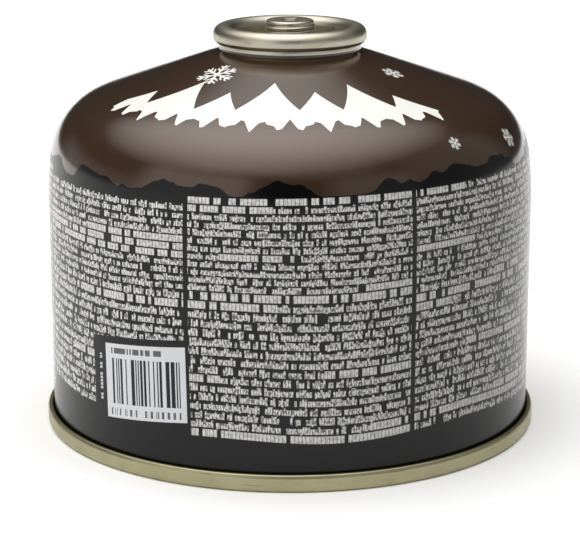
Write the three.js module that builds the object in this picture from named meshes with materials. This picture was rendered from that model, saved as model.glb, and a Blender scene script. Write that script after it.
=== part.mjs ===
import * as THREE from "three";

// Self-sealing fuel canister: a sealed steel vessel, a seamed bottom and a clinched valve with a
// threaded tower. Millimetres, +Z up. The origin is the centre of the ring that it stands on.

// Clearance between neighbouring pieces
const gap = 0.3;

// Facets round the axis, and the widest turn of one facet along a rounded edge
const vesselFacets = 48;
const cupFacets = 32;
const innerFacets = 24;
const filletTurn = 45;

// Vessel: straight wall, rounded shoulder and shallow cone
const canRadius = 53.57;
const canSheet = 0.4;
const wallHeight = 49.9;
const wallEaseTurn = 6.4;
const wallEaseRadius = 98;
const shoulderRadius = 15.94;
const coneEaseSlope = 24;
const coneEaseRadius = 42.3;
const coneSlope = 18.9;

// Rolled bead round the vessel's mouth
const beadWidth = 2.2;
const beadHeight = 3.86;
const beadFillet = 0.7;
const beadUnderside = 0.9;

// Bottom: seam ring and inward dome
const seamOverhang = 1.43;
const seamHeight = 3.8;
const seamFold = 0.6;
const seamFootFillet = 0.8;
const seamTopFillet = 0.5;
const endSheet = 0.45;
const panelRecess = 4.3;
const panelRise = 8;
const panelFillet = 0.9;
const panelSteps = 4;

// Valve cup
const cupSheet = 0.4;
const wellRadius = 12.64;
const wellDepth = 7.2;
const wellFillet = 0.8;
const crownInnerFillet = 1.5;
const crownOuterFillet = 1.4;
const clinchBulge = 0.5;
const clinchHeight = 1.7;
const clinchFillet = 0.5;
const clinchDrop = 0.15;
const skirtDepth = 3.85;
const skirtTuck = 0.75;
const skirtFillet = 0.6;

// Tower: the radius is the mean of the fine thread that is rolled into it
const towerRadius = 5.25;
const towerRise = 1;
const towerTopFillet = 0.8;
const towerFootFillet = 0.8;
const towerHoleRadius = 1.9;

// Seals
const gasketWidth = 1.2;
const gasketThickness = 0.5;
const sealThickness = 1;

// Valve stem
const stemRadius = 1.55;
const stemRecess = 0.3;
const stemTravel = 1.5;
const stemOvertravel = 0.5;
const stemEdge = 0.3;
const flangeRadius = 3.2;
const flangeThickness = 1;
const flangeEdge = 0.25;
const guideRadius = 1.2;

// Valve spring
const wireRadius = 0.25;
const coilRadius = 2.2;
const springLength = 6.4;
const activeTurns = 3;
const closedTurns = 1;
const closedPitch = 1.2;
const wireSides = 6;
const stepsPerTurn = 13;

// Valve housing
const housingWall = 0.9;
const housingFloor = 0.8;
const housingCollar = 0.85;
const housingCollarThickness = 0.9;
const housingEdge = 0.3;
const tailRadius = 1.6;
const tailLength = 2;
const inletRadius = 0.5;

// Adds an arc to an outline of [radius, height] points, tangent to a heading in degrees
// counter-clockwise from outward, and turning left to a new heading.
function addLeftTurn(outline, arcRadius, fromHeading, toHeading, steps) {
  const [startRadius, startHeight] = outline[outline.length - 1];
  const start = THREE.MathUtils.degToRad(fromHeading);
  for (let step = 1; step <= steps; step += 1) {
    const heading = THREE.MathUtils.degToRad(fromHeading + ((toHeading - fromHeading) * step) / steps);
    outline.push([
      startRadius + arcRadius * (Math.sin(heading) - Math.sin(start)),
      startHeight + arcRadius * (Math.cos(start) - Math.cos(heading)),
    ]);
  }
}

// The wall, shoulder and cone from the wall's straight part up to the bead, as [radius, height].
function shoulderOutline() {
  const up = 90;
  const inward = 180;
  const outline = [[canRadius, wallHeight]];
  addLeftTurn(outline, wallEaseRadius, up, up + wallEaseTurn, 1);
  addLeftTurn(outline, shoulderRadius, up + wallEaseTurn, inward - coneEaseSlope, 6);
  addLeftTurn(outline, coneEaseRadius, inward - coneEaseSlope, inward - coneSlope, 1);
  const [coneRadius, coneHeight] = outline[outline.length - 1];
  const rise = (coneRadius - beadRadius) * Math.tan(THREE.MathUtils.degToRad(coneSlope));
  outline.push([beadRadius, coneHeight + rise]);
  return outline;
}

// Points of a shallow arc from a level centre on the axis down to an edge.
function domeOutline(edgeRadius, edgeHeight, rise) {
  const arcRadius = (edgeRadius ** 2 + rise ** 2) / (2 * rise);
  const points = [];
  for (let step = 0; step < panelSteps; step += 1) {
    const radius = (edgeRadius * step) / panelSteps;
    const drop = arcRadius - Math.sqrt(arcRadius ** 2 - radius ** 2);
    points.push([radius, edgeHeight + rise - drop]);
  }
  return points;
}

// Turns an outline of [radius, height, fillet] corners into points, with each fillet as an arc
// that its sides have room for.
function rounded(corners, closed = false) {
  const points = [];
  corners.forEach(([radius, height, fillet = 0], index) => {
    const corner = new THREE.Vector2(radius, height);
    const atEnd = !closed && (index === 0 || index === corners.length - 1);
    if (fillet === 0 || atEnd) {
      points.push(corner);
      return;
    }
    const before = corners[(index + corners.length - 1) % corners.length];
    const after = corners[(index + 1) % corners.length];
    const back = new THREE.Vector2(before[0], before[1]).sub(corner);
    const ahead = new THREE.Vector2(after[0], after[1]).sub(corner);
    const room = Math.min(back.length(), ahead.length()) / 2;
    back.normalize();
    ahead.normalize();
    const opening = Math.acos(THREE.MathUtils.clamp(back.dot(ahead), -1, 1));
    const run = Math.min(fillet / Math.tan(opening / 2), room);
    const arcRadius = run * Math.tan(opening / 2);
    const centre = back.clone().add(ahead).setLength(arcRadius / Math.sin(opening / 2)).add(corner);
    const first = corner.clone().addScaledVector(back, run).sub(centre);
    const last = corner.clone().addScaledVector(ahead, run).sub(centre);
    const turn = Math.atan2(first.cross(last), first.dot(last));
    const steps = Math.ceil(Math.abs(THREE.MathUtils.radToDeg(turn)) / filletTurn - 1e-6);
    for (let step = 0; step <= steps; step += 1) {
      points.push(first.clone().rotateAround(new THREE.Vector2(), (turn * step) / steps).add(centre));
    }
  });
  return points;
}

// A closed outline of sheet metal: one face as points, and the sheet to the right of its path.
function pressedSheet(face, thickness) {
  const normals = face.slice(1).map((point, index) => {
    const along = point.clone().sub(face[index]).normalize();
    return new THREE.Vector2(along.y, -along.x);
  });
  const underside = face.map((point, index) => {
    const before = normals[Math.max(index - 1, 0)];
    const after = normals[Math.min(index, normals.length - 1)];
    const mitre = before.clone().add(after);
    return point.clone().addScaledVector(mitre, thickness / (1 + before.dot(after)));
  });
  return [...underside, ...face.toReversed()];
}

// A piece turned about +Z. An outline that doesn't start on the axis is closed on itself.
function turnedPiece(name, material, outline, facets) {
  const onAxis = outline[0].x === 0;
  const loop = onAxis ? outline : [...outline, outline[0]];
  const geometry = new THREE.LatheGeometry(loop, facets);
  geometry.rotateX(Math.PI / 2);
  const mesh = new THREE.Mesh(geometry, material);
  mesh.name = name;
  return mesh;
}

// Heights and radii that follow from the sizes above
const boreRadius = wellRadius + cupSheet + gap;
const beadRadius = boreRadius + beadWidth;
const shoulder = shoulderOutline();
const coneTop = shoulder[shoulder.length - 1][1];
const beadTop = coneTop + beadHeight;
const crownTop = beadTop + gap + gasketThickness + gap + cupSheet;
const wellFloor = crownTop - wellDepth;
const towerTop = crownTop + towerRise;
const towerBore = towerRadius - cupSheet;
const cupUnderside = wellFloor - cupSheet;
const sealTop = towerTop - cupSheet - gap;
const flangeTop = sealTop - sealThickness - gap;
const springTop = flangeTop - flangeThickness - gap;
const springBottom = springTop - springLength;
const housingInside = springBottom - gap;
const housingBottom = housingInside - housingFloor;
const collarRadius = towerBore - gap + housingCollar;

const panelRadius = canRadius - canSheet - gap;
const panelEdge = panelRecess + endSheet;

// Vessel and its contents, as one sealed solid
function makeCanBody(material) {
  const skirtInside = canRadius - canSheet;
  const clinchRadius = wellRadius + cupSheet + clinchBulge + gap;
  const tailBore = tailRadius + gap;
  const outline = rounded([
    ...domeOutline(skirtInside, panelEdge + gap, panelRise),
    [skirtInside, panelEdge + gap],
    [skirtInside, seamFold + gap],
    [canRadius, seamFold + gap],
    ...shoulder,
    [beadRadius, beadTop, beadFillet],
    [boreRadius, beadTop, beadFillet],
    [boreRadius, coneTop + beadUnderside],
    [clinchRadius, coneTop + beadUnderside],
    [clinchRadius, cupUnderside - gap],
    [collarRadius + gap, cupUnderside - gap],
    [collarRadius + gap, housingBottom - gap],
    [tailBore, housingBottom - gap],
    [tailBore, housingBottom - tailLength - gap],
    [0, housingBottom - tailLength - gap],
  ]);
  return turnedPiece("can_body", material, outline, vesselFacets);
}

// Seamed bottom: the folded seam ring, the wall inside it and the inward dome
function makeBaseEnd(material) {
  const seamRadius = canRadius + seamOverhang;
  const seamInside = canRadius + gap;
  const insideRadius = panelRadius - endSheet;
  const outline = rounded([
    ...domeOutline(insideRadius, panelRecess, panelRise),
    [insideRadius, panelRecess, panelFillet],
    [insideRadius, 0, seamTopFillet],
    [seamRadius, 0, seamFootFillet],
    [seamRadius, seamHeight, seamTopFillet],
    [seamInside, seamHeight, seamTopFillet / 2],
    [seamInside, seamFold],
    [panelRadius, seamFold],
    [panelRadius, panelEdge, panelFillet + endSheet],
    ...domeOutline(panelRadius, panelEdge, panelRise).toReversed(),
  ]);
  return turnedPiece("base_end", material, outline, vesselFacets);
}

// Mounting cup: tower, well, crown over the bead and skirt tucked in under it
function makeValveCup(material) {
  const clinchTop = coneTop + beadUnderside - clinchDrop;
  const clinchBottom = clinchTop - clinchHeight;
  const mitre = cupSheet * Math.tan(Math.PI / 8);
  const lipRadius = beadRadius + gap + cupSheet * Math.SQRT1_2;
  const lipBottom = crownTop - skirtDepth;
  const skirtRadius = lipRadius + skirtTuck;
  const face = rounded([
    [towerHoleRadius, towerTop],
    [towerRadius, towerTop, towerTopFillet],
    [towerRadius, wellFloor, towerFootFillet],
    [wellRadius, wellFloor, wellFillet],
    [wellRadius, clinchBottom + mitre, clinchFillet],
    [wellRadius + clinchBulge, clinchBottom + clinchBulge + mitre, clinchFillet],
    [wellRadius + clinchBulge, clinchTop - clinchBulge - mitre, clinchFillet],
    [wellRadius, clinchTop - mitre, clinchFillet],
    [wellRadius, crownTop, crownInnerFillet],
    [skirtRadius, crownTop, crownOuterFillet],
    [skirtRadius, lipBottom + skirtTuck, skirtFillet],
    [lipRadius, lipBottom],
  ]);
  return turnedPiece("valve_cup", material, pressedSheet(face, cupSheet), cupFacets);
}

// Flat ring between the bead and the crown of the cup
function makeCupGasket(material) {
  const middle = boreRadius + beadWidth / 2;
  const bottom = beadTop + gap;
  const outline = rounded([
    [middle - gasketWidth / 2, bottom],
    [middle + gasketWidth / 2, bottom],
    [middle + gasketWidth / 2, bottom + gasketThickness],
    [middle - gasketWidth / 2, bottom + gasketThickness],
  ]);
  return turnedPiece("cup_gasket", material, outline, cupFacets);
}

// Washer under the tower's top, round the stem's head
function makeStemSeal(material) {
  const bore = stemRadius + gap;
  const rim = towerBore - gap;
  const outline = rounded([
    [bore, sealTop - sealThickness],
    [rim, sealTop - sealThickness],
    [rim, sealTop],
    [bore, sealTop],
  ]);
  return turnedPiece("stem_seal", material, outline, innerFacets);
}

// Stem: head in the tower's hole, flange under the seal and guide pin in the spring
function makeValveStem(material) {
  const flangeBottom = flangeTop - flangeThickness;
  const pinBottom = housingInside + stemTravel + stemOvertravel;
  const outline = rounded([
    [0, pinBottom],
    [guideRadius, pinBottom, stemEdge],
    [guideRadius, flangeBottom],
    [flangeRadius, flangeBottom, flangeEdge],
    [flangeRadius, flangeTop, flangeEdge],
    [stemRadius, flangeTop],
    [stemRadius, towerTop - stemRecess, stemEdge],
    [0, towerTop - stemRecess],
  ]);
  return turnedPiece("valve_stem", material, outline, innerFacets);
}

// Centre line of the spring: a closed turn at each end and open turns between them
class CoilCurve extends THREE.Curve {
  getPoint(along, target = new THREE.Vector3()) {
    const turns = activeTurns + 2 * closedTurns;
    const turn = along * turns;
    const closedRise = closedPitch * 2 * wireRadius;
    const openRise = (springLength - 2 * wireRadius - 2 * closedTurns * closedRise) / activeTurns;
    const lower = Math.min(turn, closedTurns);
    const open = THREE.MathUtils.clamp(turn - closedTurns, 0, activeTurns);
    const upper = Math.max(turn - closedTurns - activeTurns, 0);
    const rise = (lower + upper) * closedRise + open * openRise;
    const angle = turn * 2 * Math.PI;
    const height = springBottom + wireRadius + rise;
    return target.set(coilRadius * Math.cos(angle), coilRadius * Math.sin(angle), height);
  }
}

function makeValveSpring(material) {
  const section = new THREE.Shape();
  for (let side = 0; side < wireSides; side += 1) {
    const angle = (side * 2 * Math.PI) / wireSides;
    const x = wireRadius * Math.cos(angle);
    const y = wireRadius * Math.sin(angle);
    if (side === 0) {
      section.moveTo(x, y);
    } else {
      section.lineTo(x, y);
    }
  }
  section.closePath();
  const geometry = new THREE.ExtrudeGeometry(section, {
    steps: Math.round((activeTurns + 2 * closedTurns) * stepsPerTurn),
    extrudePath: new CoilCurve(),
  });
  const mesh = new THREE.Mesh(geometry, material);
  mesh.name = "valve_spring";
  return mesh;
}

// Housing: cup round the spring, collar under the valve cup's floor and inlet tail
function makeValveHousing(material) {
  const outside = towerBore - gap;
  const inside = outside - housingWall;
  const collarTop = cupUnderside - gap;
  const tailBottom = housingBottom - tailLength;
  const outline = rounded(
    [
      [inletRadius, tailBottom],
      [tailRadius, tailBottom, housingEdge],
      [tailRadius, housingBottom],
      [outside, housingBottom, housingEdge],
      [outside, collarTop - housingCollarThickness],
      [collarRadius, collarTop - housingCollarThickness],
      [collarRadius, collarTop],
      [outside, collarTop],
      [outside, flangeTop, housingEdge],
      [inside, flangeTop],
      [inside, housingInside],
      [inletRadius, housingInside],
    ],
    true,
  );
  return turnedPiece("valve_housing", material, outline, innerFacets);
}

function finish(color, roughness, metalness) {
  return new THREE.MeshStandardMaterial({ color, roughness, metalness });
}

const lacqueredSteel = finish(0x3c2d23, 0.3, 0.35);
const goldTinplate = finish(0xcdc19a, 0.28, 1);
const paleTinplate = finish(0xd3cdb8, 0.25, 1);
const palePlastic = finish(0xd9d5c9, 0.4, 0);
const blackRubber = finish(0x1d1d1e, 0.85, 0);
const springSteel = finish(0xb4b8bc, 0.3, 1);

const canister = new THREE.Group();
canister.add(
  makeCanBody(lacqueredSteel),
  makeBaseEnd(goldTinplate),
  makeValveCup(paleTinplate),
  makeCupGasket(blackRubber),
  makeStemSeal(blackRubber),
  makeValveStem(palePlastic),
  makeValveSpring(springSteel),
  makeValveHousing(palePlastic),
);

export default canister;
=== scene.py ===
"""Looks of a self-sealing fuel canister: turned metal surfaces, printed lacquer and studio."""

import bpy
import numpy as np
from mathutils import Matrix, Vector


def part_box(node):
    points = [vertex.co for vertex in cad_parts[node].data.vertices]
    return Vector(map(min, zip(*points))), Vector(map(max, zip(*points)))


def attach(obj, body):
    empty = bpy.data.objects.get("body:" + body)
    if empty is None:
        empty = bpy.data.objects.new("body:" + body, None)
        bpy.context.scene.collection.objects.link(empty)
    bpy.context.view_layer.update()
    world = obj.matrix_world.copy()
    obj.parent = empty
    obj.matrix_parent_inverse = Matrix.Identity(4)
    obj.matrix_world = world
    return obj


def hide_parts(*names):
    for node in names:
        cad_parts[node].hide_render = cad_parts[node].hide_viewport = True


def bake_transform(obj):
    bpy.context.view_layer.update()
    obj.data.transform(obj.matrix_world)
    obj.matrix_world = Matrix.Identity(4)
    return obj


MM = 0.001
FULL_TURN = 2 * np.pi

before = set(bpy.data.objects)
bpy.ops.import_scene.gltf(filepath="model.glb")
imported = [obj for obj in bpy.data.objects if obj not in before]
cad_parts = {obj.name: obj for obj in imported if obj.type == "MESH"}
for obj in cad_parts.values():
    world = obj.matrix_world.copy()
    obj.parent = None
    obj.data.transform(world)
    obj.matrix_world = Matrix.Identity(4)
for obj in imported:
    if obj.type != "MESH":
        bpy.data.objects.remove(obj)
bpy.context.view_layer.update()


def span(node):
    """A frame node's largest radius, lowest and highest height, in millimetres."""
    low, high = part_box(node)
    return high.x / MM, low.z / MM, high.z / MM


# Sizes that the frame gives, in millimetres
CAN_RADIUS, SKIRT_LOW, BEAD_TOP = span("can_body")
SEAM_RADIUS, _, _ = span("base_end")
SKIRT_RADIUS, CUP_LOW, TOWER_TOP = span("valve_cup")
GASKET_RADIUS, GASKET_LOW, GASKET_TOP = span("cup_gasket")
SEAL_RADIUS, SEAL_LOW, SEAL_TOP = span("stem_seal")
FLANGE_RADIUS, STEM_LOW, STEM_TOP = span("valve_stem")
COIL_RADIUS, SPRING_LOW, SPRING_TOP = span("valve_spring")
COLLAR_RADIUS, TAIL_LOW, HOUSING_TOP = span("valve_housing")

# Sizes of the sheet metal and of its bends, in millimetres
GAP = 0.3
CAN_SHEET = 0.4
END_SHEET = 0.45
CUP_SHEET = 0.4
WALL_HEIGHT = 49.9
WALL_EASE = 98.0
WALL_EASE_TURN = 6.4
SHOULDER = 15.94
CONE_EASE = 42.3
CONE_EASE_SLOPE = 24.0
CONE_SLOPE = 18.9
BEAD_HEIGHT = 3.86
BEAD_WIDTH = 2.2
BEAD_FILLET = 0.7
BEAD_UNDERSIDE = 0.9
SEAM_HEIGHT = 3.8
SEAM_FOLD = 0.6
PANEL_RECESS = 4.3
PANEL_RISE = 8.0
WELL_RADIUS = 12.64
CROWN_TOP = TOWER_TOP - 1.0
WELL_FLOOR = CUP_LOW + CUP_SHEET
TOWER_RADIUS = 5.25
TOWER_HOLE = 1.9
CLINCH_BULGE = 0.5
CLINCH_HEIGHT = 1.7
CLINCH_DROP = 0.15
SKIRT_DEPTH = 3.85
SKIRT_TUCK = 0.75
THREAD_PITCH = 25.4 / 28
THREAD_DEPTH = 0.27
STEM_RADIUS = 1.55
GUIDE_RADIUS = 1.2
HOUSING_WALL = 0.9
HOUSING_FLOOR = 0.8
HOUSING_TAIL = 2.0
TAIL_RADIUS = 1.6
INLET_RADIUS = 0.5
WIRE_RADIUS = 0.25


def bent(start, bends):
    """A path of (radius, height) points that starts at a point and heading, and then follows
    bends of (arc radius, new heading, steps): each arc is tangent to the heading before it."""
    parts = [np.array([start[:2]])]
    heading = np.radians(start[2])
    for arc, to, steps in bends:
        angles = np.linspace(heading, np.radians(to), steps + 1)[1:]
        along = np.sin(angles) - np.sin(heading)
        up = np.cos(heading) - np.cos(angles)
        parts.append(parts[-1][-1] + arc * np.stack([along, up], axis=1))
        heading = angles[-1]
    return np.concatenate(parts)


def dome(edge_radius, edge_height, rise, steps=40):
    """Points of a shallow arc from its level centre on the axis out to its edge."""
    arc = (edge_radius**2 + rise**2) / (2 * rise)
    radius = np.linspace(0, edge_radius, steps, endpoint=False)
    return np.stack([radius, edge_height + rise - arc + np.sqrt(arc**2 - radius**2)], axis=1)


def rounded(corners, closed=False, turn=np.radians(9), ease=0.1):
    """An outline of (radius, height, fillet) corners as points. A fillet is an arc tangent to
    both sides, and a long straight side gets a point close to each of its ends. A point that
    falls on the next one is dropped."""
    corners = [tuple(corner) + (0,) * (3 - len(corner)) for corner in corners]
    parts = []
    for index, (radius, height, fillet) in enumerate(corners):
        corner = np.array([radius, height])
        if not fillet:
            parts.append(corner[None])
            continue
        back = np.array(corners[index - 1][:2]) - corner
        ahead = np.array(corners[(index + 1) % len(corners)][:2]) - corner
        room = min(np.hypot(*back), np.hypot(*ahead)) / 2
        back /= np.hypot(*back)
        ahead /= np.hypot(*ahead)
        half = np.arccos(np.clip(back @ ahead, -1, 1)) / 2
        run = min(fillet / np.tan(half), room)
        arc = run * np.tan(half)
        centre = corner + (back + ahead) / np.hypot(*(back + ahead)) * arc / np.sin(half)
        first = corner + back * run - centre
        side = np.array([-first[1], first[0]])
        side *= np.sign(side @ (corner + ahead * run - centre))
        sweep = np.linspace(0, np.pi - 2 * half, int(np.ceil((np.pi - 2 * half) / turn)) + 1)
        parts.append(centre + np.cos(sweep)[:, None] * first + np.sin(sweep)[:, None] * side)
    points = np.concatenate(parts)
    apart = np.hypot(*np.diff(points, axis=0).T) > 1e-4
    points = points[np.append(apart, True)]
    if closed:
        points = np.concatenate([points, points[:1]])
    return supported(points, ease)


def supported(points, ease):
    """The same outline, with a point close to each end of every side longer than six eases."""
    step = np.diff(points, axis=0)
    length = np.hypot(*step.T)
    near = np.where(length > 6 * ease, ease / length, np.nan)
    shift = step * near[:, None]
    rows = np.stack([points[:-1], points[:-1] + shift, points[1:] - shift], axis=1).reshape(-1, 2)
    return np.concatenate([rows[~np.isnan(rows[:, 0])], points[-1:]])


def pressed(face, thickness):
    """The closed outline of a sheet whose one face is the given path: every point moves to the
    right of the path by the thickness, along the mitre of its two sides."""
    along = np.diff(face, axis=0)
    normal = np.stack([along[:, 1], -along[:, 0]], axis=1) / np.hypot(*along.T)[:, None]
    before = np.concatenate([normal[:1], normal])
    after = np.concatenate([normal, normal[-1:]])
    share = thickness / (1 + np.sum(before * after, axis=1))
    other = face + (before + after) * share[:, None]
    return np.concatenate([other, face[::-1], other[:1]])


def add_mesh(name, points, corners, sides, maps=None):
    """A smooth mesh object: points in millimetres, then the point number of every face corner in
    turn, the number of corners of each face, and each named map's value at every corner."""
    mesh = bpy.data.meshes.new(name)
    mesh.vertices.add(len(points))
    mesh.vertices.foreach_set("co", (points * MM).astype(np.float32).ravel())
    mesh.loops.add(len(corners))
    mesh.polygons.add(len(sides))
    mesh.polygons.foreach_set("loop_start", (np.cumsum(sides) - sides).astype(np.int32))
    mesh.polygons.foreach_set("vertices", corners.astype(np.int32))
    mesh.update(calc_edges=True)
    for map_name, values in (maps or {}).items():
        layer = mesh.uv_layers.new(name=map_name)
        layer.data.foreach_set("uv", values.astype(np.float32).ravel())
    mesh.shade_smooth()
    piece = bpy.data.objects.new(name, mesh)
    bpy.context.scene.collection.objects.link(piece)
    return piece


def turned(name, outline, columns, relief=None, maps_from=None):
    """A surface of revolution: an outline of (radius, height) turned through a full circle, with
    azimuth 0 at the front. Where the outline starts or ends on the axis, its faces there are
    triangles. relief gives a change of radius from azimuth, radius and height. maps_from gives
    the named maps from the azimuth and the outline's point number at every face corner."""
    azimuth = np.linspace(0, FULL_TURN, columns, endpoint=False)
    radius = np.repeat(outline[:, :1], columns, axis=1)
    height = np.repeat(outline[:, 1:], columns, axis=1)
    if relief:
        radius = radius + relief(azimuth[None], radius, height)
    points = np.stack([radius * np.sin(azimuth), -radius * np.cos(azimuth), height], axis=2)
    rows = len(outline)
    number = np.arange(rows * columns).reshape(rows, columns)
    if np.allclose(outline[0], outline[-1]):
        number[-1] = number[0]
    number = np.where(outline[:, :1] == 0, number[:, :1], number)
    right = np.roll(number, -1, axis=1)
    quads = np.stack([number[:-1], right[:-1], right[1:], number[1:]], axis=2).reshape(-1, 4)
    kept = quads != np.roll(quads, -1, axis=1)
    maps = {}
    if maps_from:
        row, column = np.meshgrid(np.arange(rows - 1), np.arange(columns), indexing="ij")
        corner_row = np.stack([row, row, row + 1, row + 1], axis=2).reshape(-1, 4)
        step = np.stack([column, column + 1, column + 1, column], axis=2).reshape(-1, 4)
        maps = maps_from(step * FULL_TURN / columns, corner_row)
        maps = {key: values[kept] for key, values in maps.items()}
    used, corners = np.unique(quads[kept], return_inverse=True)
    return add_mesh(name, points.reshape(-1, 3)[used], corners, kept.sum(axis=1), maps)


class Value:
    """A socket in a shader. Operators on it add Math nodes to its tree."""

    def __init__(self, shader, socket):
        self.shader = shader
        self.socket = socket

    def calc(self, operation, *others):
        return self.shader.node("Math", {"operation": operation}, dict(enumerate((self, *others))))

    def __add__(self, other):
        return self.calc("ADD", other)

    __radd__ = __add__

    def __sub__(self, other):
        return self.calc("SUBTRACT", other)

    def __rsub__(self, other):
        return self.shader.node("Math", {"operation": "SUBTRACT"}, {0: other, 1: self})

    def __mul__(self, other):
        return self.calc("MULTIPLY", other)

    __rmul__ = __mul__

    def __truediv__(self, other):
        return self.calc("DIVIDE", other)

    def __lt__(self, other):
        return self.calc("LESS_THAN", other)

    def __gt__(self, other):
        return self.calc("GREATER_THAN", other)

    def __abs__(self):
        return self.calc("ABSOLUTE")

    def floor(self):
        return self.calc("FLOOR")

    def part(self):
        return self.calc("FRACT")

    def most(self, other):
        return self.calc("MAXIMUM", other)


class Shader:
    """The node tree of a material or a world, and its one surface or background shader."""

    def __init__(self, owner):
        owner.use_nodes = True
        self.owner = owner
        self.tree = owner.node_tree
        self.surface = next(n for n in self.tree.nodes if n.outputs and n.outputs[0].type == "SHADER")

    def node(self, kind, settings=None, inputs=None, output=0):
        """Adds a node of a type, applies its settings, then sets or links its inputs, which are
        named or numbered, and returns the output that is named or numbered."""
        made = self.tree.nodes.new("ShaderNode" + kind)
        for key, value in (settings or {}).items():
            setattr(made, key, value)
        for key, value in (inputs or {}).items():
            self.feed(made.inputs[key], value)
        return Value(self, made.outputs[output])

    def feed(self, target, value):
        if isinstance(value, Value):
            self.tree.links.new(value.socket, target)
        elif isinstance(value, tuple) and target.type == "RGBA":
            target.default_value = (*value, 1)
        else:
            target.default_value = value

    def set(self, **sockets):
        """Sets or links the surface's sockets, whose names have underscores for spaces."""
        for key, value in sockets.items():
            self.feed(self.surface.inputs[key.replace("_", " ")], value)

    def mix(self, share, low, high):
        """A colour between two colours."""
        return self.node("Mix", {"data_type": "RGBA"}, {0: share, 6: low, 7: high}, 2)

    def place(self):
        return self.node("TexCoord", output="Object")

    def split(self, vector):
        """The three numbers of a vector."""
        made = self.node("SeparateXYZ", inputs={0: vector}).socket.node
        return [Value(self, output) for output in made.outputs]

    def stretched(self, vector, scale):
        return self.node("Mapping", inputs={"Vector": vector, "Scale": scale})

    def noise(self, vector, scale, detail=2.0, roughness=0.5):
        inputs = {"Vector": vector, "Scale": scale, "Detail": detail, "Roughness": roughness}
        return self.node("TexNoise", inputs=inputs)

    def scatter(self, first, second=0.0, third=0.0):
        """A random number for each set of whole numbers."""
        cell = self.node("CombineXYZ", inputs={0: first, 1: second, 2: third})
        return self.node("TexWhiteNoise", {"noise_dimensions": "3D"}, {"Vector": cell})

    def ramp(self, value, low, high, to_low=0.0, to_high=1.0):
        """A straight change from one pair of numbers to another, held at both ends."""
        inputs = {"Value": value, "From Min": low, "From Max": high}
        inputs.update({"To Min": to_low, "To Max": to_high})
        return self.node("MapRange", {"clamp": True}, inputs)

    def bump(self, height, distance, strength=1.0):
        inputs = {"Height": height, "Distance": distance, "Strength": strength}
        return self.node("Bump", inputs=inputs)


def linear(red, green, blue):
    """The linear colour of a display colour given as 0 to 255."""
    shown = np.array([red, green, blue]) / 255
    light = np.where(shown < 0.04045, shown / 12.92, ((shown + 0.055) / 1.055) ** 2.4)
    return tuple(float(channel) for channel in light)


# Kinds of ray that see the floor white
SEEN_RAYS = ("Is Camera Ray", "Is Glossy Ray", "Is Transmission Ray")

# Printed colours
BROWN = linear(76, 56, 42)
BLACK = linear(12, 12, 12)
WHITE = linear(250, 249, 245)
PAPER = linear(246, 248, 253)
BAR_BLACK = linear(24, 24, 26)

# Colours of metal, rubber and plastic, each metal's with the tone of its stains
TINPLATE = (0.55, 0.52, 0.43)
TINPLATE_TONE = (0.47, 0.43, 0.33)
GOLD = (0.43, 0.40, 0.25)
GOLD_TONE = (0.36, 0.335, 0.20)
STEEL = (0.62, 0.63, 0.64)
STEEL_TONE = (0.5, 0.5, 0.5)
RUBBER = (0.012, 0.012, 0.013)
PLASTIC = (0.86, 0.85, 0.80)

# Print layout. Azimuth is in degrees from the front, positive to the right. Height is measured
# in millimetres up the vessel's outside from its standing plane.
COLUMNS = 7
COLUMN_PITCH = 360 / COLUMNS
COLUMN_START = -23.3
COLUMN_MARGIN = 0.55
ROWS_TOP = 61.0
ROWS_TURN = 41.3
ROWS_BOTTOM = 9.9
UPPER_ROWS = 12
LOWER_ROWS = 16
PRINT_LEAN = 0.95
PRINT_WAVE = 0.8
LETTER_WIDTH = 0.54
BOLD_WIDTH = 0.80

# Heights in a row of print, as shares of the row from its top
TALL_TOP = 0.08
SMALL_TOP = 0.30
SMALL_FOOT = 0.88
TAIL_FOOT = 1.0

# Bold runs: column, and start and end in rows, whose fraction is the way along the row
BOLD_RUNS = (
    (0, 0.0, 1.38), (0, 7.15, 7.5), (0, 11.74, 13.4), (0, 20.6, 21.15), (0, 26.8, 28.0),
    (1, 0.0, 0.28), (1, 7.0, 7.33), (1, 12.5, 14.2), (1, 19.3, 19.8), (1, 25.5, 27.0),
    (6, 5.45, 8.0), (6, 13.4, 14.0), (6, 20.3, 20.8),
)

# Middle and lowest height of the dark band's ridge, and the height where the bead's bare metal
# starts
RIDGE_LEVEL = 61.6
RIDGE_LOWEST = 61.15
BARE_FROM = 107.75

# Height of the snow's edge, the azimuths that the peaks lie between, and each peak's azimuth,
# height and slope
SNOW_EDGE = 76.0
PEAKS_LEFT = -61.5
PEAKS_RIGHT = 49.0
PEAKS = (
    (-56.0, 88.0, 1.05),
    (-41.0, 95.0, 1.2),
    (-24.0, 91.5, 1.1),
    (-7.0, 96.5, 1.15),
    (10.0, 92.5, 1.1),
    (26.0, 95.0, 1.2),
    (40.0, 88.5, 1.05),
)

# Each snowflake's azimuth, height, the vessel's radius there, size and tilt, and the root and
# length of the twigs on its arms as shares of its size
FLAKES = (
    (-40.2, 98.3, 23.9, 4.3, 0.3),
    (59.6, 96.6, 25.5, 2.4, 0.1),
    (43.2, 70.1, 49.4, 1.5, 0.5),
    (66.2, 67.9, 50.8, 2.3, 0.2),
    (118.0, 84.0, 37.5, 3.4, 0.6),
    (152.0, 72.0, 47.8, 2.0, 0.0),
    (-118.0, 78.0, 43.0, 2.6, 0.4),
    (-160.0, 90.0, 32.0, 3.6, 0.2),
)
TWIGS = ((0.36, 0.30), (0.66, 0.26))

# White panel: place, shear, half sizes, and the pitches of its bars and marks
PANEL_AZIMUTH = -34.7
PANEL_UP = 20.1
PANEL_LEAN = 0.023
PANEL_DROP = 0.115
PANEL_HALF_WIDTH = 10.6
PANEL_HALF_HEIGHT = 8.1
BAR_PITCH = 0.31
TITLE_PITCH = 0.42
FOOT_PITCH = 1.42
SIDE_PITCH = 0.75

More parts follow.
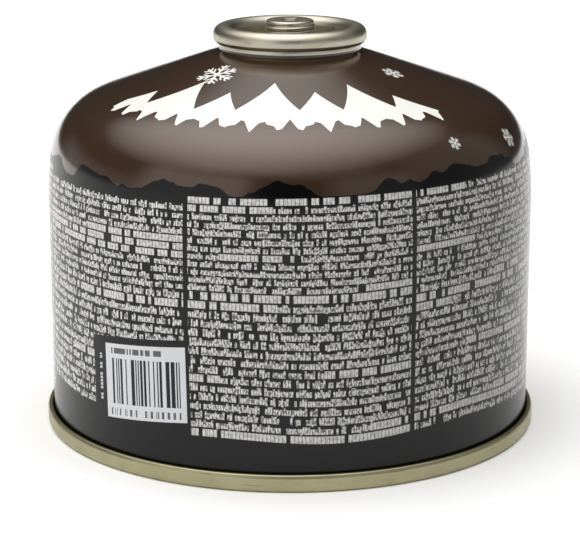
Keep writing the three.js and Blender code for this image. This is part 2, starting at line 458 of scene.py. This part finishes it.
# Sheet of the OFBake map in millimetres: the heights where the wall's strips end and the shoulder's
# end, the space between strips, their start from the sheet's side and from each other, and the
# hidden faces' band, with its start below the sheet's top and the height used in it
STRIP_FOLD = 49.0
STRIP_END = 107.0
STRIP_SPACE = 1.5
STRIP_SIDE = 2.0
STRIP_INSET = 1.0
HIDDEN_BAND = 6.0
HIDDEN_START = 4.0
HIDDEN_HEIGHT = 2.5

# Studio's roof: the way that it faces, how steeply it brightens and where it starts
ROOF_UP = 0.992
ROOF_LEFT = 0.13
ROOF_SLOPE = 7.4
ROOF_START = 4.42

# Studio's panels: low edge, high edge and softness in azimuth, the same in elevation, and level
PANELS = (
    ((-58.0, 48.0, 12.0), (33.0, 50.0, 4.0), 0.32),
    ((-74.0, -20.0, 6.0), (-4.0, 32.0, 5.0), 0.9),
    ((20.0, 62.0, 6.0), (-4.0, 30.0, 5.0), 0.4),
    ((62.0, 124.0, 8.0), (-30.0, 46.0, 6.0), 0.22),
    ((-135.0, -74.0, 8.0), (-30.0, 12.0, 4.0), 0.25),
)
STUDIO_FILL = 0.02

# Floor: half its side in millimetres, and the light that it throws back at the left and right
FLOOR_HALF = 3000.0
BOUNCE_LEFT = 0.66
BOUNCE_RIGHT = 0.15

# Camera of the photograph: focal length and picture width in pixels, place in metres, and tilt
FOCAL_PIXELS = 2140.573
FRAME_PIXELS = 580
CAMERA_PLACE = (0, -0.467467, 0.153965)
CAMERA_TILT = 14.531


def leaning(ink, azimuth, up):
    """Height in the print's own frame. The sleeve of print leans by a millimetre across the can,
    and waves by nearly a millimetre more towards its lower edge."""
    lean = (azimuth * float(np.pi / 180) + 0.44).calc("SINE")
    wave = ((azimuth + 18.0) * float(np.pi / 30)).calc("COSINE")
    return up - lean * PRINT_LEAN - wave * ink.ramp(up, 62.0, 0.0, 0.0, PRINT_WAVE)


def print_rows(ink, azimuth, up):
    """White share of the small print: columns of rows of word-long groups of letters. A letter is
    a bright block with dark gaps at its sides, eaten into by blots of noise. Bold runs have
    wider, taller and brighter letters. All of it is chance, so no letter can be read."""
    lane = (azimuth - COLUMN_START + 360.0) / COLUMN_PITCH
    column = lane.floor().calc("MODULO", float(COLUMNS))
    across = lane.part() * COLUMN_PITCH
    inside = (across > COLUMN_MARGIN) * (across < COLUMN_PITCH - COLUMN_MARGIN)

    upper = (ROWS_TOP - up) / ((ROWS_TOP - ROWS_TURN) / UPPER_ROWS)
    lower = (ROWS_TURN - up) / ((ROWS_TURN - ROWS_BOTTOM) / LOWER_ROWS) + float(UPPER_ROWS)
    below = up < ROWS_TURN
    line = upper * (1.0 - below) + lower * below
    row = line.floor()
    down = line.part()
    # The column left of the front starts a row lower and ends two rows higher
    last_column = column > float(COLUMNS) - 1.5
    last_row = float(UPPER_ROWS + LOWER_ROWS) - last_column * 2.0
    inside = inside * (line > last_column) * (line < last_row)

    # Bold is by chance in the columns behind, and by the table in the columns in front
    seed = row + column * 40.0
    place_in_text = row + across / COLUMN_PITCH
    run = (place_in_text * 1.35 + column * 5.3).floor()
    heavy = (ink.scatter(run, column, 3.0) > 0.82) * (column > 1.5) * (column < 5.5)
    for number, start, end in BOLD_RUNS:
        chosen = abs(column - float(number)) < 0.5
        heavy = heavy.most(chosen * (place_in_text > start) * (place_in_text < end))
    width = (heavy * (BOLD_WIDTH - LETTER_WIDTH) + LETTER_WIDTH) * float(np.degrees(1 / CAN_RADIUS))
    letter = across / width + ink.scatter(seed, 7.0) * 9.0
    cell = letter.floor()
    side = abs(letter.part() - 0.5)
    blank = ink.scatter(cell, seed, 1.0) < 0.15

    tall = (ink.scatter(cell, seed, 2.0) > 0.62).most(heavy)
    top = SMALL_TOP - tall * (SMALL_TOP - TALL_TOP)
    tail = (ink.scatter(cell, seed, 4.0) > 0.88) * (1.0 - heavy)
    foot = SMALL_FOOT + tail * (TAIL_FOOT - SMALL_FOOT)
    body = ink.ramp(down - top, -0.05, 0.04) * ink.ramp(foot - down, -0.04, 0.05)

    spot = ink.node("CombineXYZ", inputs={0: letter * 1.25, 1: line * 2.1, 2: column * 3.7})
    grain = ink.noise(spot, 1.0, 1.0)
    gap = ink.ramp(side, 0.37, 0.47) * (0.80 - 0.10 * heavy)
    nick = ink.ramp(grain, 0.48, 0.58) * (0.74 - 0.42 * heavy)
    stroke = (1.0 - gap) * (1.0 - nick)
    return inside * (1.0 - blank) * body * stroke


def bar_panel(ink, azimuth, up):
    """White share, black share and clear share of the sheared white panel with its upright bars,
    the marks above, below and beside them, and the plain ground round it."""
    x = (azimuth - PANEL_AZIMUTH) * float(np.radians(CAN_RADIUS))
    y = up - PANEL_UP
    right = x + y * PANEL_LEAN
    rise = y - x * PANEL_DROP
    panel = (abs(right) < PANEL_HALF_WIDTH) * (abs(rise) < PANEL_HALF_HEIGHT)
    clear = (right > -PANEL_HALF_WIDTH - 4.0) * (right < PANEL_HALF_WIDTH + 0.8)
    clear = clear * (rise < PANEL_HALF_HEIGHT + 1.5)

    bar = ink.scatter((right / BAR_PITCH).floor(), 1.0) > 0.46
    field = (abs(right - 0.3) < 8.95) * (abs(rise) < 4.95) * bar
    title_mark = ink.scatter((right / TITLE_PITCH).floor(), 2.0) > 0.28
    title = (abs(right + 2.4) < 7.3) * (abs(rise - 6.6) < 0.62) * title_mark
    foot_mark = abs((right / FOOT_PITCH).part() - 0.5) < 0.27
    foot = (abs(right) < 9.3) * (abs(rise + 6.7) < 0.75) * foot_mark
    foot = foot * (abs(right + 0.9) > 0.8) * (ink.scatter((right / 0.2).floor(), 5.0) > 0.35)
    side_mark = ink.scatter((rise / SIDE_PITCH).floor(), 9.0) > 0.25
    side = (abs(right + PANEL_HALF_WIDTH + 1.7) < 0.4) * (abs(rise - 0.3) < 5.4)
    side = side * side_mark * (abs((rise / SIDE_PITCH).part() - 0.5) < 0.38)
    return panel.most(side * 0.8), panel * field.most(title * 0.85).most(foot * 0.85), clear


def peak_band(ink, azimuth, up):
    """White share of a row of plain snowy peaks: under the highest of several tents of azimuth,
    and over a lower row of small tents that shows as the snow's edge."""
    roof = azimuth * 0.0
    for centre, top, slope in PEAKS:
        roof = roof.most(top - abs(azimuth - centre) * slope)
    wave = abs((azimuth / 7.0).part() - 0.5) * 7.0 + abs((azimuth / 4.3).part() - 0.5) * 3.0
    edge = wave + SNOW_EDGE
    fade = (azimuth > PEAKS_LEFT) * (azimuth < PEAKS_RIGHT)
    return ink.ramp(up - edge, 0.0, 0.12) * ink.ramp(roof - up, 0.0, 0.12) * fade


def snowflake(ink, azimuth, up, centre_azimuth, centre_up, radius, size, tilt):
    """White share of a six-armed snowflake: one arm with two pairs of side twigs, folded round.
    The radius is the vessel's at the flake's middle."""
    x = (azimuth - centre_azimuth) * float(np.radians(radius))
    y = up - centre_up
    reach = (x * x + y * y).calc("SQRT")
    angle = y.calc("ARCTAN2", x) + tilt
    sector = abs((angle / float(np.pi / 3)).part() - 0.5) * float(np.pi / 3)
    folded = float(np.pi / 6) - sector
    along = reach * folded.calc("COSINE")
    side = abs(reach * folded.calc("SINE"))
    width = 0.065 * size
    arm = (side < width) * (along < size)
    for root, length in TWIGS:
        lean = abs(along - side - root * size)
        arm = arm.most((lean < width * 1.1) * (side < length * size) * (along < size * 1.05))
    return arm


def printed_lacquer():
    """Brown and black gloss print on the drawn vessel, with its small print and motifs."""
    ink = Shader(bpy.data.materials.new("printed_lacquer"))
    azimuth, up, _ = ink.split(ink.node("UVMap", {"uv_map": "Print"}))
    place = ink.place()
    printed_up = leaning(ink, azimuth, up)
    flat_place = ink.stretched(place, (1.0, 1.0, 0.0))
    hills = ink.noise(flat_place, 62.0, 2.0)
    bumps = ink.noise(flat_place, 210.0, 2.0)
    ridge = RIDGE_LEVEL + (hills - 0.45) * 15.0 + abs(bumps - 0.5) * 3.5
    ridge = ridge.most(RIDGE_LOWEST)
    dark = ink.ramp(ridge - printed_up, -0.07, 0.07)
    mottle = ink.noise(place, 260.0, 3.0)
    brown = ink.mix(mottle, tuple(c * 0.94 for c in BROWN), tuple(c * 1.06 for c in BROWN))
    colour = ink.mix(dark, brown, BLACK)
    panel, bars, clear = bar_panel(ink, azimuth, up)
    rows = print_rows(ink, azimuth, printed_up) * (1.0 - clear)
    colour = ink.mix(rows, colour, WHITE)
    colour = ink.mix(panel, colour, PAPER)
    colour = ink.mix(bars, colour, BAR_BLACK)

    white = peak_band(ink, azimuth, up)
    for flake in FLAKES:
        white = white.most(snowflake(ink, azimuth, up, *flake))
    colour = ink.mix(white, colour, WHITE)
    bare = up > BARE_FROM
    brown_share = (1.0 - dark) * (1.0 - white) * (1.0 - bare)
    colour = ink.mix(bare, colour, TINPLATE)
    ink.set(Base_Color=colour, IOR=1.36, Metallic=bare.most(brown_share * 0.30))
    ink.set(Coat_Weight=brown_share * 0.9, Coat_Roughness=0.12)
    cloud = ink.noise(place, 40.0, 3.0)
    scuff = ink.noise(ink.stretched(place, (1.0, 1.0, 8.0)), 500.0, 2.0)
    ink.set(Roughness=0.15 + cloud * 0.05 + scuff * 0.03 + bare * 0.15)
    ink.set(Normal=ink.bump(ink.noise(place, 900.0, 2.0), 0.000004, 0.25))
    return ink.owner


def bright_metal(name, colour, tone, roughness):
    """Rolled tinplate: fine turning lines round the axis, faint stains and a soft satin gloss."""
    metal = Shader(bpy.data.materials.new(name))
    place = metal.place()
    x, y, z = metal.split(place)
    radius = (x * x + y * y).calc("SQRT")
    around = metal.node("CombineXYZ", inputs={0: y.calc("ARCTAN2", x) * 0.01, 1: radius, 2: z})
    lines = metal.noise(around, 2200.0, 3.0)
    stain = metal.noise(place, 120.0, 4.0, 0.6)
    scratch = metal.noise(metal.stretched(around, (500.0, 1400.0, 1400.0)), 1.0, 2.0)
    colour_now = metal.mix(metal.ramp(stain, 0.35, 0.75), colour, tone)
    marks = metal.ramp(scratch, 0.67, 0.72)
    colour_now = metal.mix(marks * 0.45, colour_now, tuple(c * 0.35 for c in colour))
    metal.set(Base_Color=colour_now, Metallic=1.0)
    metal.set(Roughness=roughness + lines * 0.08 + stain * 0.06)
    metal.set(Normal=metal.bump(lines, 0.000004, 0.12))
    return metal.owner


def moulded(name, colour, roughness, grain):
    """Moulded plastic or rubber: a fine grain in its colour, gloss and surface."""
    plain = Shader(bpy.data.materials.new(name))
    place = plain.place()
    speckle = plain.noise(place, grain, 3.0)
    plain.set(Base_Color=plain.mix(speckle, tuple(c * 0.88 for c in colour), colour))
    plain.set(Roughness=roughness + (speckle - 0.5) * 0.12)
    plain.set(Normal=plain.bump(speckle, 0.00001, 0.3))
    return plain.owner


def vessel_outline():
    """The vessel's outside from its skirt to the bead, and on through the bore and the pocket."""
    bore = WELL_RADIUS + CUP_SHEET + GAP
    bead = bore + BEAD_WIDTH
    inside = CAN_RADIUS - CAN_SHEET
    cone_top = BEAD_TOP - BEAD_HEIGHT
    bends = [
        (WALL_EASE, 90 + WALL_EASE_TURN, 12),
        (SHOULDER, 180 - CONE_EASE_SLOPE, 40),
        (CONE_EASE, 180 - CONE_SLOPE, 6),
    ]
    shoulder = bent((CAN_RADIUS, WALL_HEIGHT, 90), bends)
    bead_foot = (bead + 0.6, cone_top - 0.2)
    run = np.linspace(0, 1, 14)[1:, None]
    cone = shoulder[-1] + (np.array(bead_foot) - shoulder[-1]) * run
    underside = dome(inside, PANEL_RECESS + END_SHEET + GAP, PANEL_RISE)
    wall = np.linspace(SKIRT_LOW, WALL_HEIGHT, 14, endpoint=False)
    wall = np.stack([np.full_like(wall, CAN_RADIUS), wall], axis=1)
    mouth = rounded([
        bead_foot,
        (bead - 0.04, cone_top + 0.12, 0.3),
        (bead + 0.10, cone_top + 0.9, 0.5),
        (bead - 0.02, cone_top + 1.9, 0.8),
        (bead, BEAD_TOP, BEAD_FILLET),
        (bore, BEAD_TOP, BEAD_FILLET),
        (bore, cone_top + BEAD_UNDERSIDE),
    ])
    clinch = WELL_RADIUS + CUP_SHEET + CLINCH_BULGE + GAP
    pocket_floor = CUP_LOW - GAP
    housing_bottom = TAIL_LOW + HOUSING_TAIL
    pocket = rounded([
        (clinch, cone_top + BEAD_UNDERSIDE),
        (clinch, pocket_floor),
        (COLLAR_RADIUS + GAP, pocket_floor),
        (COLLAR_RADIUS + GAP, housing_bottom - GAP),
        (TAIL_RADIUS + GAP, housing_bottom - GAP),
        (TAIL_RADIUS + GAP, TAIL_LOW - GAP),
        (0, TAIL_LOW - GAP),
    ])
    before = np.concatenate([underside, [[inside, underside[-1, 1] - 0.2], [inside, SKIRT_LOW]]])
    outside = np.concatenate([wall, shoulder, cone, mouth[1:]])
    return np.concatenate([before, outside, pocket]), len(before)


def can_body():
    """Printed vessel. Print holds azimuth in degrees and height up the outside in millimetres,
    and OFBake lays the outside in four strips, each half of the way round."""
    outline, first = vessel_outline()
    steps = np.hypot(*np.diff(outline, axis=0).T)
    travel = np.concatenate([[0], np.cumsum(steps)])
    travel = travel - travel[first] + SKIRT_LOW
    wall_strip = STRIP_FOLD + STRIP_SPACE
    shoulder_strip = STRIP_END - STRIP_FOLD + STRIP_SPACE
    sheet_size = 2 * wall_strip + 2 * shoulder_strip + HIDDEN_BAND

    def maps(azimuth, row):
        up = travel[row]
        behind = azimuth.mean(axis=1, keepdims=True) > np.pi
        shown = np.where(behind, azimuth - FULL_TURN, azimuth)
        face_up = up.mean(axis=1, keepdims=True)
        on_shoulder = face_up > STRIP_FOLD
        across = (azimuth - np.where(behind, np.pi, 0)) * CAN_RADIUS + STRIP_SIDE
        along = np.where(on_shoulder, up - STRIP_FOLD, up)
        wall_start = behind * wall_strip
        shoulder_start = 2 * wall_strip + behind * shoulder_strip
        strip_start = np.where(on_shoulder, shoulder_start, wall_start) + STRIP_INSET
        hidden = (face_up < 0.5) | (face_up > STRIP_END)
        hidden_up = np.clip(np.abs(up) / 40, 0, 1) * HIDDEN_HEIGHT
        hidden_place = sheet_size - HIDDEN_START + hidden_up
        along = np.where(hidden, hidden_place, along + strip_start)
        packed = np.stack([across, along], axis=2) / sheet_size
        return {"Print": np.stack([np.degrees(shown), up], axis=2), "OFBake": packed}

    return turned("vessel", outline, 256, maps_from=maps)


def base_end():
    """Seam ring with its folded edge, and the inward dome behind it."""
    wall = CAN_RADIUS - CAN_SHEET - GAP
    inside = wall - END_SHEET
    seam_in = CAN_RADIUS + GAP
    edge = PANEL_RECESS + END_SHEET
    outline = np.concatenate([
        dome(inside, PANEL_RECESS, PANEL_RISE),
        rounded([
            (inside - 0.5, PANEL_RECESS + 0.15),
            (inside, PANEL_RECESS, 0.9),
            (inside, 0, 0.5),
            (SEAM_RADIUS - 0.35, 0, 0.8),
            (SEAM_RADIUS, 1.0, 0.7),
            (SEAM_RADIUS, SEAM_HEIGHT - 0.7, 0.6),
            (SEAM_RADIUS - 0.3, SEAM_HEIGHT, 0.45),
            (seam_in, SEAM_HEIGHT, 0.25),
            (seam_in, SEAM_FOLD),
            (wall, SEAM_FOLD),
            (wall, edge, 1.3),
            (wall - 0.6, edge + 0.18),
        ])[1:-1],
        dome(wall, edge, PANEL_RISE)[::-1],
    ])
    return turned("seam_ring", outline, 256)


def cup_relief(azimuth, radius, height):
    """Right-handed thread on the tower's outside: a rounded triangle wave along a helix, which
    dies away at both ends."""
    low, high = WELL_FLOOR + 0.9, TOWER_TOP - 0.75
    phase = (height - low) / THREAD_PITCH - azimuth / FULL_TURN
    wave = 1 - 4 * np.abs(phase - np.floor(phase) - 0.5)
    wave = np.sin(np.clip(wave * 1.15, -1, 1) * np.pi / 2)
    ends = np.clip((height - low) / 0.7, 0, 1) * np.clip((high - height) / 0.5, 0, 1)
    on_wall = (np.abs(radius - TOWER_RADIUS) < 0.001) & (ends > 0)
    return np.where(on_wall, wave * ends * THREAD_DEPTH, 0)


def valve_cup():
    """Pressed cup: top of the tower, threaded wall, well, clinched wall, crown and skirt."""
    cone_top = BEAD_TOP - BEAD_HEIGHT
    bead = WELL_RADIUS + CUP_SHEET + GAP + BEAD_WIDTH
    clinch_top = cone_top + BEAD_UNDERSIDE - CLINCH_DROP
    clinch_low = clinch_top - CLINCH_HEIGHT
    mitre = CUP_SHEET * np.tan(np.pi / 8)
    lip = bead + GAP + CUP_SHEET * np.sqrt(0.5)
    lip_low = CROWN_TOP - SKIRT_DEPTH
    bulge = WELL_RADIUS + CLINCH_BULGE
    roll = (SKIRT_RADIUS - WELL_RADIUS) / 2
    wall_top = TOWER_TOP - 1.2
    head = rounded([
        (TOWER_HOLE, TOWER_TOP, 0),
        (TOWER_RADIUS, TOWER_TOP, 0.8),
        (TOWER_RADIUS, wall_top, 0),
    ])[:-1]
    heights = np.arange(wall_top, WELL_FLOOR + 0.93, -0.065)
    wall = np.stack([np.full_like(heights, TOWER_RADIUS), heights], axis=1)
    rest = rounded([
        (TOWER_RADIUS, WELL_FLOOR + 2.0, 0),
        (TOWER_RADIUS, WELL_FLOOR, 0.8),
        (WELL_RADIUS, WELL_FLOOR, 0.8),
        (WELL_RADIUS, clinch_low + mitre, 0.5),
        (bulge, clinch_low + CLINCH_BULGE + mitre, 0.5),
        (bulge, clinch_top - CLINCH_BULGE - mitre, 0.5),
        (WELL_RADIUS, clinch_top - mitre, 0.5),
        (WELL_RADIUS, CROWN_TOP - roll, 0),
    ])[2:]
    turn = np.radians(np.arange(172, 4, -8))[:, None]
    crown = roll * np.hstack([np.cos(turn), np.sin(turn)]) + [SKIRT_RADIUS - roll, CROWN_TOP - roll]
    skirt = rounded([
        (SKIRT_RADIUS, CROWN_TOP - roll, 0),
        (SKIRT_RADIUS, lip_low + SKIRT_TUCK, 0.6),
        (lip, lip_low, 0),
    ])
    face = np.concatenate([head, wall, rest, crown, skirt])
    return turned("mounting_cup", pressed(face, CUP_SHEET), 192, relief=cup_relief)


def ring(name, low_radius, high_radius, low, high, fillet):
    """A flat ring with four rounded edges."""
    corners = [(low_radius, low), (high_radius, low), (high_radius, high), (low_radius, high)]
    return turned(name, rounded([(r, z, fillet) for r, z in corners], closed=True), 96)


def stem():
    """Turned stem: guide pin, flange and flat head."""
    flange_top = SEAL_LOW - GAP
    flange_low = flange_top - 1.0
    outline = rounded([
        (0, STEM_LOW),
        (GUIDE_RADIUS, STEM_LOW, 0.3),
        (GUIDE_RADIUS, flange_low),
        (FLANGE_RADIUS, flange_low, 0.25),
        (FLANGE_RADIUS, flange_top, 0.25),
        (STEM_RADIUS, flange_top),
        (STEM_RADIUS, STEM_TOP, 0.15),
        (0, STEM_TOP),
    ])
    return turned("stem", outline, 96)


def housing():
    """Plastic cup round the spring, with a collar under the valve cup and an inlet tail."""
    outside = TOWER_RADIUS - CUP_SHEET - GAP
    inside = outside - HOUSING_WALL
    collar_top = CUP_LOW - GAP
    bottom = TAIL_LOW + HOUSING_TAIL
    outline = rounded([
        (INLET_RADIUS, TAIL_LOW, 0.1),
        (TAIL_RADIUS, TAIL_LOW, 0.3),
        (TAIL_RADIUS, bottom, 0.2),
        (outside, bottom, 0.3),
        (outside, collar_top - 0.9, 0.1),
        (COLLAR_RADIUS, collar_top - 0.9, 0.2),
        (COLLAR_RADIUS, collar_top, 0.2),
        (outside, collar_top, 0.1),
        (outside, HOUSING_TOP, 0.3),
        (inside, HOUSING_TOP, 0.1),
        (inside, bottom + HOUSING_FLOOR, 0.2),
        (INLET_RADIUS, bottom + HOUSING_FLOOR, 0.1),
    ], closed=True)
    return turned("spring_housing", outline, 96)


def coil():
    """Wire of circular section carried along a helix whose end turns lie closed."""
    turns, closed, sides = 5, 1, 12
    steps = turns * 48
    turn = np.linspace(0, turns, steps + 1)
    length = SPRING_TOP - SPRING_LOW
    closed_rise = 1.2 * 2 * WIRE_RADIUS
    open_rise = (length - 2 * WIRE_RADIUS - 2 * closed * closed_rise) / (turns - 2 * closed)
    stations = [0, closed, turns - closed, turns]
    risen = np.cumsum([0, closed_rise, open_rise * (turns - 2 * closed), closed_rise])
    rise = np.interp(turn, stations, risen)
    middle = SPRING_LOW + WIRE_RADIUS + rise
    angle = turn * FULL_TURN
    outward = np.stack([np.cos(angle), np.sin(angle), np.zeros_like(angle)], axis=1)
    centre = outward * (COIL_RADIUS - WIRE_RADIUS)
    centre[:, 2] = middle
    around = np.linspace(0, FULL_TURN, sides, endpoint=False)
    upward = np.array([0, 0, 1.0])
    section = np.cos(around)[:, None] * outward[:, None] + np.sin(around)[:, None] * upward
    points = (centre[:, None] + section * WIRE_RADIUS).reshape(-1, 3)
    number = np.arange(len(points)).reshape(steps + 1, sides)
    left = np.roll(number, -1, axis=1)
    quads = np.stack([number[:-1], number[1:], left[1:], left[:-1]], axis=2)
    corners = np.concatenate([quads.ravel(), number[0], number[-1][::-1]])
    counts = np.array([4] * (steps * sides) + [sides] * 2)
    return add_mesh("coil_spring", points, corners, counts)


def dress(piece, node, body, material):
    """Gives a piece its material and body, and hides the frame node that it stands for."""
    piece.data.materials.append(material)
    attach(piece, body)
    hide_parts(node)


def make_canister():
    """All eight pieces. The spring is a plain coil, fixed in place."""
    print_finish = printed_lacquer()
    tinplate = bright_metal("pale_tinplate", TINPLATE, TINPLATE_TONE, 0.30)
    gold = bright_metal("gold_tinplate", GOLD, GOLD_TONE, 0.34)
    steel = bright_metal("spring_steel", STEEL, STEEL_TONE, 0.2)
    rubber = moulded("black_rubber", RUBBER, 0.75, 900.0)
    plastic = moulded("pale_plastic", PLASTIC, 0.35, 600.0)
    bore = WELL_RADIUS + CUP_SHEET + GAP
    seal_bore = STEM_RADIUS + GAP
    gasket_bore = 2 * bore + BEAD_WIDTH - GASKET_RADIUS
    dress(can_body(), "can_body", "canister", print_finish)
    dress(base_end(), "base_end", "canister", gold)
    dress(valve_cup(), "valve_cup", "canister", tinplate)
    gasket = ring("gasket", gasket_bore, GASKET_RADIUS, GASKET_LOW, GASKET_TOP, 0.15)
    dress(gasket, "cup_gasket", "canister", rubber)
    seal = ring("seal_washer", seal_bore, SEAL_RADIUS, SEAL_LOW, SEAL_TOP, 0.12)
    dress(seal, "stem_seal", "canister", rubber)
    dress(stem(), "valve_stem", "stem", plastic)
    dress(housing(), "valve_housing", "canister", plastic)
    spring = coil()
    spring.data.materials.append(steel)
    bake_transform(spring)
    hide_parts("valve_spring")


def make_floor():
    """Pale level floor. The lens and every gloss see it white, with the canister's shadow, and it
    throws back more light at the left than at the right."""
    corners = np.array([[-1, -1, 0], [1, -1, 0], [1, 1, 0], [-1, 1, 0]]) * FLOOR_HALF
    floor = add_mesh("floor", corners, np.arange(4), np.array([4]))
    pale = Shader(bpy.data.materials.new("pale_floor"))
    across, _, _ = pale.split(pale.place())
    bounce = pale.ramp(across, -0.08, 0.08, BOUNCE_LEFT, BOUNCE_RIGHT)
    camera_ray, glossy_ray, passed_ray = [pale.node("LightPath", output=kind) for kind in SEEN_RAYS]
    seen = camera_ray.most(glossy_ray).most(passed_ray)
    shown = pale.node("BsdfDiffuse", inputs={"Color": (0.95, 0.95, 0.95)})
    lift = pale.node("BsdfDiffuse", inputs={"Color": (0.10, 0.10, 0.10)})
    white = pale.node("AddShader", inputs={0: shown, 1: lift})
    grey = pale.mix(bounce, (0.0, 0.0, 0.0), (1.0, 1.0, 1.0))
    thrown = pale.node("BsdfDiffuse", inputs={"Color": grey})
    mixed = pale.node("MixShader", inputs={0: seen, 1: thrown, 2: white})
    pale.tree.links.new(mixed.socket, pale.tree.nodes["Material Output"].inputs["Surface"])
    floor.data.materials.append(pale.owner)


def make_studio():
    """A tent of light round the table. Its roof is brightest overhead, a little to the left, and
    fades evenly. Below it are a dim strip in front, a bright panel at the front left, a dimmer
    one at the front right, and grey walls at both sides, with dark gaps between them."""
    world = bpy.data.worlds.new("studio")
    bpy.context.scene.world = world
    air = Shader(world)
    x, y, z = air.split(air.node("TexCoord", output="Generated"))
    turn = x.calc("ARCTAN2", y * -1.0) * float(180 / np.pi)
    lift = z.calc("ARCSINE") * float(180 / np.pi)

    def window(value, low, high, soft):
        rising = air.ramp(value, low - soft, low + soft)
        return rising * air.ramp(value, high - soft, high + soft, 1.0, 0.0)

    level = ((z * ROOF_UP - x * ROOF_LEFT) * ROOF_SLOPE - ROOF_START).most(0.0)
    for turn_edges, lift_edges, strength in PANELS:
        level = level + window(turn, *turn_edges) * window(lift, *lift_edges) * strength
    level = level + STUDIO_FILL
    air.set(Color=(1.0, 0.994, 0.982), Strength=level)


def make_camera():
    """Camera of the photograph, from a fit to the rims."""
    lens = bpy.data.cameras.new("camera")
    lens.sensor_width = 36.0
    lens.lens = FOCAL_PIXELS / FRAME_PIXELS * lens.sensor_width
    lens.clip_start, lens.clip_end = 0.05, 20.0
    camera = bpy.data.objects.new("camera", lens)
    bpy.context.scene.collection.objects.link(camera)
    camera.location = CAMERA_PLACE
    camera.rotation_euler = (np.radians(90 - CAMERA_TILT), 0, 0)
    bpy.context.scene.camera = camera


make_canister()
make_floor()
make_studio()
make_camera()
bpy.context.scene.view_settings.view_transform = "Standard"
